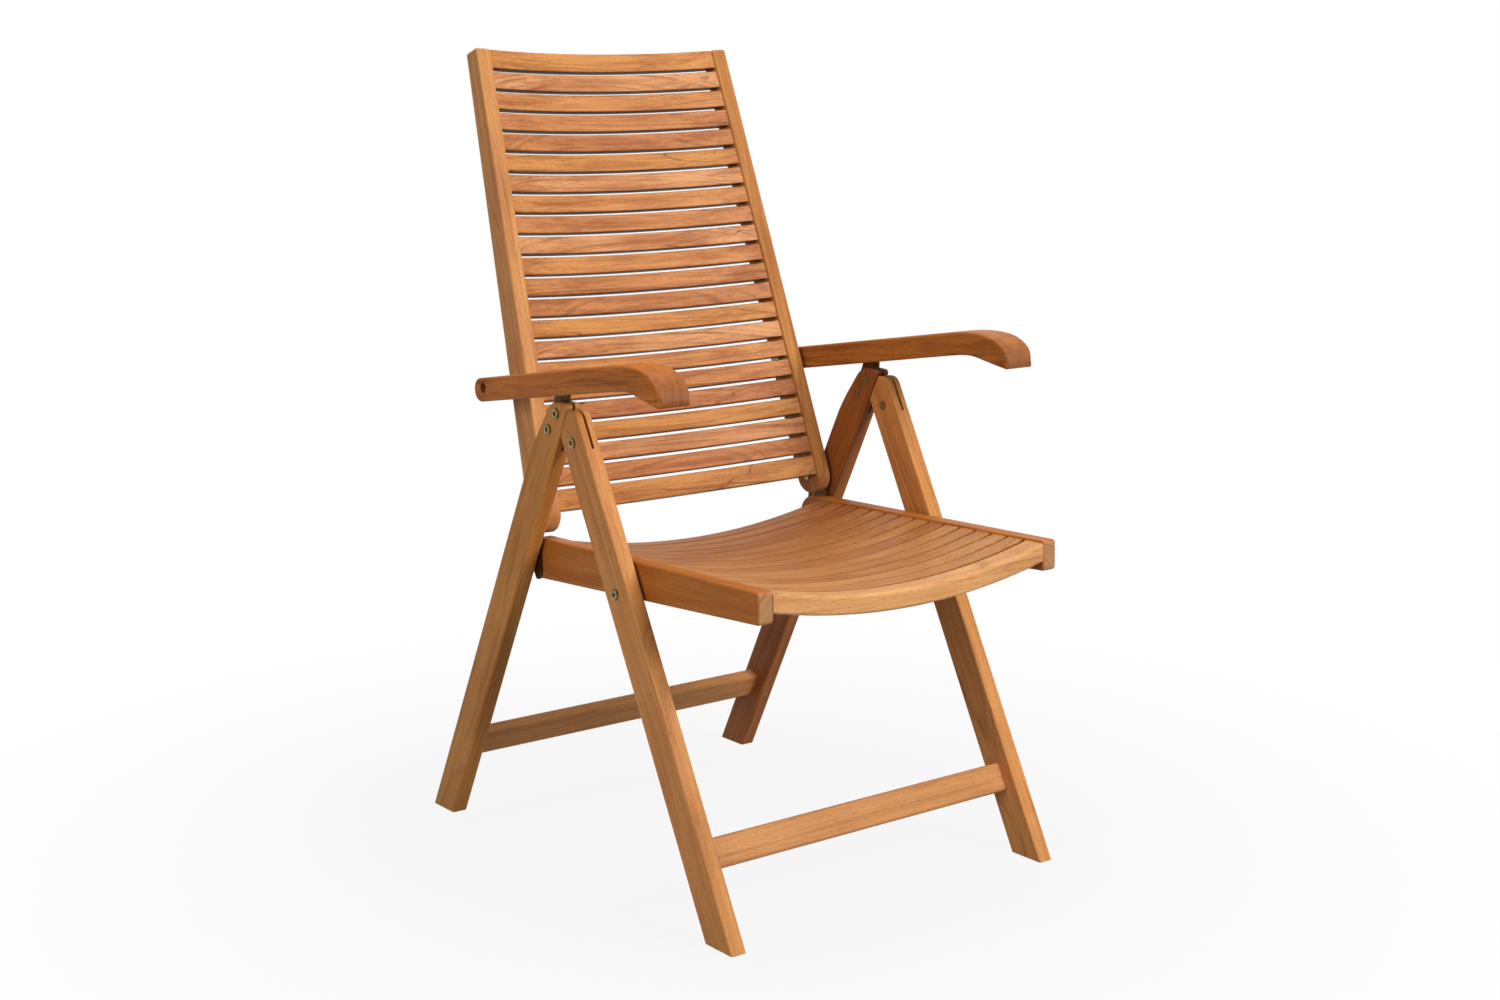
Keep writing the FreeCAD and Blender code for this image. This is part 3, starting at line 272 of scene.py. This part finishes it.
# golden and reddish tone of a board; a maker's mix of slats has all of these
SLAT_TONES = (("c4864f", "9a5a33"), ("bb7b4c", "905231"), ("cb9060", "a0623b"),
              ("bf7f4e", "935631"), ("c28549", "98592f"))
SEAT_FRONT_TONES = (("b8814b", "965c2f"), ("b27a45", "90552b"), ("bd874f", "9a6032"))
# painted shade: these darker tones stand in for the shade that the back and the arms cast on the
# rear seat slats
SEAT_REAR_PAINTED_SHADE_TONES = ("9c602c", "73401b")
FRONT_SLAT_TONES = ("d09a63", "b47b4a")
STILE_TONES = {"right": ("c98d50", "a5683a"), "left": ("b97d42", "955a2d")}
FRONT_LEG_TONES = ("cb8c4e", "ad6c38")
# painted shade: the far, left rear leg has darker tones that stand in for the shade on its
# visible inner side
REAR_LEG_TONES_WITH_PAINTED_SHADE = {"right": ("c28340", "9a602b"), "left": ("a3632f", "7c4420")}
STRETCHER_TONES = ("c78b54", "ae7344")
ARM_TONES = {"right": ("b8691c", "88450f"), "left": ("b5702f", "8a4d22")}
RAIL_TONES = ("b56d29", "94511f")


def mean_code(first, second, share):
    """The sRGB hex value that lies a share of the way from the first to the second."""
    levels = [round(int(first[k:k + 2], 16) * (1 - share) + int(second[k:k + 2], 16) * share)
              for k in (0, 2, 4)]
    return "%02x%02x%02x" % tuple(levels)


def wood_for(node, number):
    """Chooses the grain, the pith and the tone of one board."""
    grain = side_to_side
    tones = STRETCHER_TONES
    hand = "left" if node.endswith("left") else "right"
    lean = (spread(number, -0.05, 0.05), spread(number + 7, -0.07, 0.07))
    pith = (spread(number, -900, 900), spread(number + 3, -60, 60), spread(number + 11, 25, 90))
    options = {"lines": spread(number + 2, 0.25, 0.45), "figure": 0.75}
    if node.startswith("front_leg"):
        grain, tones = front_leg_grain, FRONT_LEG_TONES
    elif node.startswith("rear_leg"):
        grain, tones = rear_leg_grain, REAR_LEG_TONES_WITH_PAINTED_SHADE[hand]
    elif node.startswith("seat_rail"):
        grain, tones = rail_grain, RAIL_TONES
    elif node.startswith("arm"):
        grain, tones = arm_grain, ARM_TONES[hand]
        options = {"line": "4a260d", "lines": 0.12, "vein": 0.5, "ring_width": 12.0,
                   "figure": 0.8, "end_tones": ("7a4a2d", "54321c"), "end_start": 0.15}
    elif node.startswith("back_stile"):
        grain, tones = stile_grain[hand], STILE_TONES[hand]
    elif "slat" in node:
        lean = (spread(number, -0.03, 0.03), spread(number + 5, -0.05, 0.05))
        place = int(node[-2:])
        if node.startswith("back"):
            tones = SLAT_TONES[int(spread(number, 0, len(SLAT_TONES)))]
            # the narrow sides of the back slats get painted shade
            options = {"lines": spread(number + 2, 0.25, 0.7), "painted_shade_sides": back_slat_width,
                       "vein": 0.65 if number % 4 == 0 else 0.0}
        elif place == 1:
            tones = FRONT_SLAT_TONES
            options = {"lines": 0.4, "ring_width": 11.0, "figure": 0.6}
        else:
            # painted shade: the seat slats get darker tones towards the rear, where the back and
            # the arms shade the seat, and their narrow sides get painted shade as well
            options = {"lines": spread(number + 2, 0.12, 0.3), "figure": 0.6,
                       "painted_shade_sides": rail_grain, "painted_shade_strength": 0.5}
            front = SEAT_FRONT_TONES[int(spread(number, 0, len(SEAT_FRONT_TONES)))]
            share = min(max((place - 4) / 9, 0.0), 1.0)
            tones = [mean_code(code, rear, share) for code, rear in zip(front, SEAT_REAR_PAINTED_SHADE_TONES)]
    return teak("oiled_teak_" + node, node, grain, pith, lean, tones, **options)


boards = sorted(name for name in nodes
                if "slat" in name or "leg_left" in name or "leg_right" in name
                or "rail" in name or "stile" in name or "stretcher" in name
                or name in ("arm_left", "arm_right"))
for number, name in enumerate(boards, start=1):
    dress(name, wood_for(name, number))
print("boards in teak:", len(boards))

# %% [markdown]
# Plugs
# A plug hides a screw. It is cut across the grain, so it shows a darker round end.

# %% Dowel plugs
dress("dowel_plugs", teak("teak_end_grain", "dowel_plugs", (0, 1, 0), (0, 10, 40), (0, 0),
                          ("a06a3c", "7d4c28")))

# %% [markdown]
# Fittings
# The racks are rolled brass. The straps and hinge plates are too, but they have tarnished
# brown. The catch pins are drawn brass that the racks keep bright, and the bolts are turned
# steel with a yellow zinc finish. All are metal with a fine satin surface; thin oil and air
# have dulled them in small patches, which a slow noise gives in colour and gloss.

# %% Brass and zinc


def satin_metal(name, bright, dull, roughness, patch_mm):
    """A brushed or turned metal with dull patches."""
    material, tree, output = new_material(name)
    at = add(tree, "ShaderNodeTexCoord")
    scaled = add(tree, "ShaderNodeMapping", {}, {
        "Vector": at.outputs["Object"],
        "Scale": (1000 / patch_mm, 1000 / patch_mm, 1000 / patch_mm)})
    patch = add(tree, "ShaderNodeTexNoise", {}, {
        "Vector": scaled.outputs["Vector"], "Scale": 1.0, "Detail": 4.0, "Roughness": 0.6})
    level = ranged(tree, patch.outputs["Fac"], 0.35, 0.65, 0.0, 1.0)
    colour = blended(tree, level, linear(bright), linear(dull))
    gloss = ranged(tree, patch.outputs["Fac"], 0.3, 0.7, roughness - 0.06, roughness + 0.12)
    grit = add(tree, "ShaderNodeTexNoise", {}, {
        "Vector": scaled.outputs["Vector"], "Scale": 18.0, "Detail": 2.0})
    relief = add(tree, "ShaderNodeBump", {}, {
        "Height": grit.outputs["Fac"], "Strength": 0.15, "Distance": 0.00004})
    surface = add(tree, "ShaderNodeBsdfPrincipled", {}, {
        "Base Color": colour, "Metallic": 1.0, "Roughness": gloss,
        "Normal": relief.outputs["Normal"]})
    tree.links.new(surface.outputs[0], output.inputs["Surface"])
    return material


tarnished_brass = satin_metal("tarnished_brass", "6a4d26", "33250f", 0.5, 6.0)
rolled_brass = satin_metal("rolled_brass", "a8813a", "5f441c", 0.38, 6.0)
yellow_zinc = satin_metal("yellow_zinc_steel", "a3946a", "5f563d", 0.30, 4.0)
drawn_brass = satin_metal("drawn_brass", "d0a64e", "a07c35", 0.32, 4.0)
metals = {
    tarnished_brass: ["leg_hinge_plates", "back_hinge_straps"],
    rolled_brass: ["rack_left", "rack_right"],
    drawn_brass: ["catch_and_rest_pins"],
    yellow_zinc: ["leg_hinge_bolts", "leg_pivot_bolts", "back_hinge_bolts", "arm_pivot_left",
                  "arm_pivot_right"],
}
for metal, pieces in metals.items():
    for name in pieces:
        dress(name, metal)
print("fittings:", sum(len(pieces) for pieces in metals.values()))

# %% [markdown]
# Camera
# The photograph was taken from the chair's right front, a little above the seat. The place,
# the turn and the lens were solved from the chair's own outline, so the camera can be set
# straight from them. Its matrix has the right, up and backward directions as columns.

# %% Camera
yaw = math.radians(38.025)
pitch = math.radians(-11.319)
roll = math.radians(0.208)
forward = Vector((math.sin(yaw) * math.cos(pitch), math.cos(yaw) * math.cos(pitch),
                  math.sin(pitch)))
level_right = Vector((math.cos(yaw), -math.sin(yaw), 0))
level_up = level_right.cross(forward)
right = level_right * math.cos(roll) + level_up * math.sin(roll)
up = level_up * math.cos(roll) - level_right * math.sin(roll)
turn = Matrix((right, up, -forward)).transposed().to_4x4()
# the focal length was solved in pixels of a picture that is 1500 pixels wide
focal_pixels = 2201.3
picture_width = 1500
lens = bpy.data.cameras.new("camera")
lens.sensor_width = 36.0
lens.lens = focal_pixels / picture_width * lens.sensor_width
camera = bpy.data.objects.new("camera", lens)
camera.matrix_world = Matrix.Translation((-1.7450, -2.2610, 1.0328)) @ turn
bpy.context.scene.collection.objects.link(camera)
bpy.context.scene.camera = camera
print("camera lens: %.1f mm" % lens.lens)

# %% [markdown]
# Studio
# The chair stands on a pale floor in front of white. The floor is a large flat sheet whose
# colour fades to the white of the background away from the chair, so that no horizon shows.
# One broad lamp stands in front of the chair and high, a little towards the sitter's left:
# the faces that look forward are bright, and the outer faces on the near side are deeper.

# %% Floor


def flat_sheet(name, half, height):
    """A level square sheet, reaching half its width each way from the middle."""
    sheet = bmesh.new()
    bmesh.ops.create_grid(sheet, x_segments=1, y_segments=1, size=half)
    bmesh.ops.translate(sheet, verts=sheet.verts, vec=(0, 0, height))
    mesh = bpy.data.meshes.new(name)
    sheet.to_mesh(mesh)
    sheet.free()
    item = bpy.data.objects.new(name, mesh)
    bpy.context.scene.collection.objects.link(item)
    return item


def seen_directly(tree):
    """1 where the camera sees a thing itself, in a mirror or through glass, and else 0."""
    seen = add(tree, "ShaderNodeLightPath").outputs
    mirrored = maths(tree, "MAXIMUM", seen["Is Camera Ray"], seen["Is Glossy Ray"])
    return maths(tree, "MAXIMUM", mirrored, seen["Is Transmission Ray"])


floor = flat_sheet("studio_floor", 14.0, -0.0005)
paper, tree, output = new_material("pale_studio_paper")
at = add(tree, "ShaderNodeTexCoord")
away = add(tree, "ShaderNodeVectorMath", {"operation": "LENGTH"}, {0: at.outputs["Object"]})
fading = add(tree, "ShaderNodeMapRange", {"interpolation_type": "SMOOTHSTEP"}, {
    "Value": away.outputs["Value"], "From Min": 0.3, "From Max": 1.3, "To Min": 0.9})
share = maths(tree, "MULTIPLY", seen_directly(tree), fading.outputs["Result"])
matte = add(tree, "ShaderNodeBsdfDiffuse", {}, {"Color": (0.3, 0.3, 0.3, 1)})
glow = add(tree, "ShaderNodeEmission", {}, {"Color": (1, 1, 1, 1), "Strength": 1.0})
mixed = add(tree, "ShaderNodeMixShader", {}, {
    "Fac": share, 1: matte.outputs[0], 2: glow.outputs[0]})
tree.links.new(mixed.outputs[0], output.inputs["Surface"])
floor.data.materials.append(paper)

# %% Background and lamps
world = bpy.data.worlds.new("studio_world")
bpy.context.scene.world = world
world.use_nodes = True
tree = world.node_tree
tree.nodes.clear()
white = add(tree, "ShaderNodeBackground", {}, {"Color": (1, 1, 1, 1), "Strength": 1.0})
soft = add(tree, "ShaderNodeBackground", {}, {"Color": (1, 1, 1, 1), "Strength": 0.20})
either = add(tree, "ShaderNodeMixShader", {}, {
    "Fac": seen_directly(tree), 1: soft.outputs[0], 2: white.outputs[0]})
add(tree, "ShaderNodeOutputWorld", {}, {"Surface": either.outputs[0]})


def lamp(name, place, aim, size, power):
    """A square studio lamp that looks at a point."""
    light = bpy.data.lights.new(name, "AREA")
    light.shape = "SQUARE"
    light.size = size
    light.energy = power
    item = bpy.data.objects.new(name, light)
    item.location = place
    item.rotation_euler = (Vector(aim) - Vector(place)).to_track_quat("-Z", "Y").to_euler()
    bpy.context.scene.collection.objects.link(item)


lamp("key_lamp", (0.9, -3.4, 2.3), (0, 0, 0.5), 1.6, 150)
lamp("fill_lamp", (-3.2, -0.9, 1.6), (0, 0, 0.5), 1.8, 46)
lamp("top_lamp", (0.2, 0.3, 3.4), (0, 0, 0.4), 1.6, 52)
print("floor, background and 3 lamps are set")

# %% [markdown]
# Colour management
# A plain product picture wants colours as they are written, so the view transform is the
# standard one.

# %% Finish
bpy.context.scene.view_settings.view_transform = "Standard"
